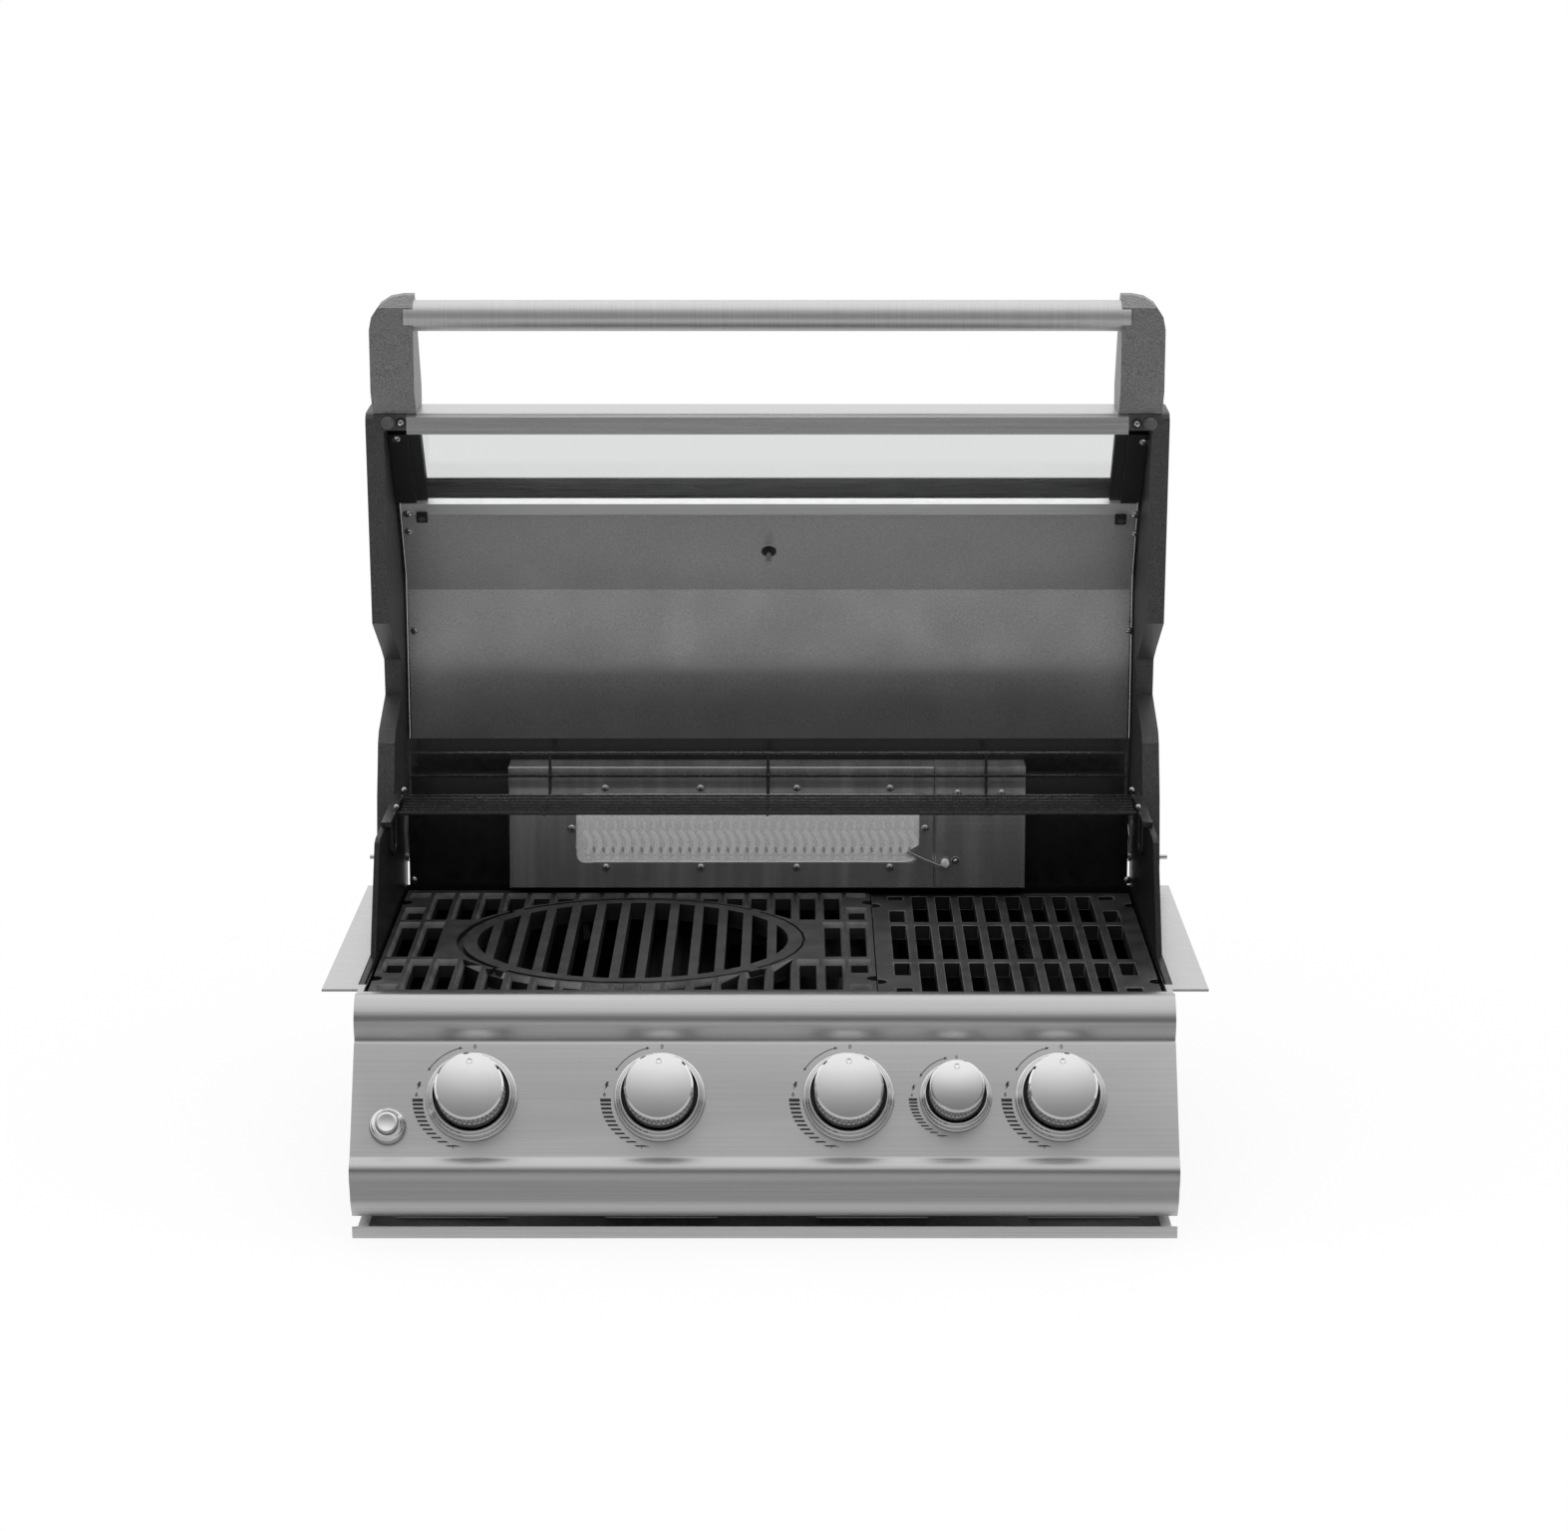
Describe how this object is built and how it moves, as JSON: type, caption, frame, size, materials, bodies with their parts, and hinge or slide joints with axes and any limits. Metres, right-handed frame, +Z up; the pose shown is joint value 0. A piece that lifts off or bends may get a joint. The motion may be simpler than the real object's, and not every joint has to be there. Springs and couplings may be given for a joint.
{
  "type": "built-in gas grill",
  "caption": "Built-in stainless gas grill with an open windowed lid, cast-iron grates, a round grate insert, a rear infrared burner and control knobs.",
  "frame": {"origin": "middle of the footprint of the whole grill with its lid open, on the plane of the side plates' lower edges", "axes": "+X to the right as the cook sees it, +Y away from the cook towards the lid hinge, +Z up"},
  "size_m": [0.85, 0.7654, 0.8508],
  "materials": {
    "brushed_steel": "satin brushed stainless sheet",
    "bright_steel": "polished stainless sheet",
    "chrome": "bright chrome plate",
    "liner_steel": "fine-grained dull stainless sheet",
    "grey_casting": "dark grey hammered paint on cast aluminium",
    "black_enamel": "gloss black enamel on sheet steel",
    "cast_iron": "matt black enamelled casting",
    "coated_wire": "black coated steel wire",
    "window_glass": "clear tempered glass",
    "black_rail": "matt black painted steel",
    "radiant_mesh": "light grey radiant mesh plate",
    "brass": "plain machined brass"
  },
  "bodies": {
    "grill": {"counter_flange": "brushed_steel", "side_plate_left": "grey_casting", "side_plate_right": "grey_casting", "hinge_pin_left": "bright_steel", "hinge_pin_right": "bright_steel", "firebox_shell": "black_enamel", "rear_wall": "black_enamel", "control_panel": "brushed_steel", "burner_1": "bright_steel", "burner_2": "bright_steel", "burner_3": "bright_steel", "burner_4": "bright_steel", "flame_tamer_1": "bright_steel", "flame_tamer_2": "bright_steel", "flame_tamer_3": "bright_steel", "flame_tamer_4": "bright_steel", "gas_manifold": "bright_steel", "valve_1": "brass", "valve_2": "brass", "valve_3": "brass", "valve_4": "brass", "valve_5": "brass", "bezel_1": "chrome", "bezel_2": "chrome", "bezel_3": "chrome", "bezel_4": "chrome", "bezel_5": "chrome", "igniter_bezel": "chrome", "rear_burner_housing": "bright_steel", "rear_burner_cover": "bright_steel", "rear_burner_radiant": "radiant_mesh"},
    "lid": {"lid_skin": "brushed_steel", "lid_liner": "liner_steel", "lid_front_strip": "brushed_steel", "lid_end_left": "grey_casting", "lid_end_right": "grey_casting", "window_glass": "window_glass", "glass_rail_left": "black_rail", "glass_rail_right": "black_rail", "handle_tube": "brushed_steel", "handle_post_left": "grey_casting", "handle_post_right": "grey_casting", "thermometer": "bright_steel"},
    "drip_tray": {"drip_tray": "brushed_steel"},
    "warming_rack": {"warming_rack": "coated_wire"},
    "grate_left": {"grate_left": "cast_iron"},
    "grate_centre": {"grate_centre": "cast_iron"},
    "grate_right": {"grate_right": "cast_iron"},
    "round_grate": {"round_grate": "cast_iron"},
    "igniter_button": {"igniter_button": "chrome"},
    "stem_1": {"valve_stem_1": "bright_steel"},
    "knob_1": {"knob_1": "chrome"},
    "stem_2": {"valve_stem_2": "bright_steel"},
    "knob_2": {"knob_2": "chrome"},
    "stem_3": {"valve_stem_3": "bright_steel"},
    "knob_3": {"knob_3": "chrome"},
    "stem_4": {"valve_stem_4": "bright_steel"},
    "knob_4": {"knob_4": "chrome"},
    "stem_5": {"valve_stem_5": "bright_steel"},
    "knob_5": {"knob_5": "chrome"}
  },
  "joints": [
    {"name": "lid_hinge", "type": "hinge", "parent": "grill", "child": "lid", "pos_m": [0, 0.19602, 0.248], "axis": [1, 0, 0], "range_deg": [0, 87]},
    {"name": "drip_tray_slide", "type": "slide", "parent": "grill", "child": "drip_tray", "axis": [0, -1, 0], "range_m": [0, 0.35]},
    {"name": "warming_rack_lift", "type": "slide", "parent": "grill", "child": "warming_rack", "axis": [0, 0, 1], "range_m": [0, 0.02]},
    {"name": "grate_left_tilt", "type": "hinge", "parent": "grill", "child": "grate_left", "pos_m": [-0.26, 0.17102, 0.199], "axis": [-1, 0, 0], "range_deg": [0, 7]},
    {"name": "grate_centre_tilt", "type": "hinge", "parent": "grill", "child": "grate_centre", "pos_m": [-0.0147, 0.17102, 0.199], "axis": [-1, 0, 0], "range_deg": [0, 7]},
    {"name": "grate_right_tilt", "type": "hinge", "parent": "grill", "child": "grate_right", "pos_m": [0.2455, 0.17102, 0.199], "axis": [-1, 0, 0], "range_deg": [0, 7]},
    {"name": "round_grate_lift", "type": "slide", "parent": "grate_left", "child": "round_grate", "axis": [0, 0, 1], "range_m": [0, 0.02]},
    {"name": "knob_1_push", "type": "slide", "parent": "grill", "child": "stem_1", "axis": [0, 0.852, -0.5236], "range_m": [0, 0.004], "stiffness_N_per_m": 2500, "springref_m": -0.004},
    {"name": "knob_1_turn", "type": "hinge", "parent": "stem_1", "child": "knob_1", "pos_m": [-0.27651, -0.33124, 0.13591], "axis": [0, -0.852, 0.5236], "range_deg": [0, 150]},
    {"name": "knob_2_push", "type": "slide", "parent": "grill", "child": "stem_2", "axis": [0, 0.852, -0.5236], "range_m": [0, 0.004], "stiffness_N_per_m": 2500, "springref_m": -0.004},
    {"name": "knob_2_turn", "type": "hinge", "parent": "stem_2", "child": "knob_2", "pos_m": [-0.09906, -0.33124, 0.13591], "axis": [0, -0.852, 0.5236], "range_deg": [0, 150]},
    {"name": "knob_3_push", "type": "slide", "parent": "grill", "child": "stem_3", "axis": [0, 0.852, -0.5236], "range_m": [0, 0.004], "stiffness_N_per_m": 2500, "springref_m": -0.004},
    {"name": "knob_3_turn", "type": "hinge", "parent": "stem_3", "child": "knob_3", "pos_m": [0.07917, -0.33124, 0.13591], "axis": [0, -0.852, 0.5236], "range_deg": [0, 150]},
    {"name": "knob_4_push", "type": "slide", "parent": "grill", "child": "stem_4", "axis": [0, 0.852, -0.5236], "range_m": [0, 0.004], "stiffness_N_per_m": 2500, "springref_m": -0.004},
    {"name": "knob_4_turn", "type": "hinge", "parent": "stem_4", "child": "knob_4", "pos_m": [0.18038, -0.33124, 0.13591], "axis": [0, -0.852, 0.5236], "range_deg": [0, 150]},
    {"name": "knob_5_push", "type": "slide", "parent": "grill", "child": "stem_5", "axis": [0, 0.852, -0.5236], "range_m": [0, 0.004], "stiffness_N_per_m": 2500, "springref_m": -0.004},
    {"name": "knob_5_turn", "type": "hinge", "parent": "stem_5", "child": "knob_5", "pos_m": [0.27963, -0.33124, 0.13591], "axis": [0, -0.852, 0.5236], "range_deg": [0, 150]},
    {"name": "igniter_push", "type": "slide", "parent": "grill", "child": "igniter_button", "axis": [0, 0.852, -0.5236], "range_m": [0, 0.003], "stiffness_N_per_m": 1500, "springref_m": -0.003}
  ],
  "couplings": [
    {"joint": "grate_centre_tilt", "follows": "grate_left_tilt", "ratio": 1}
  ]
}
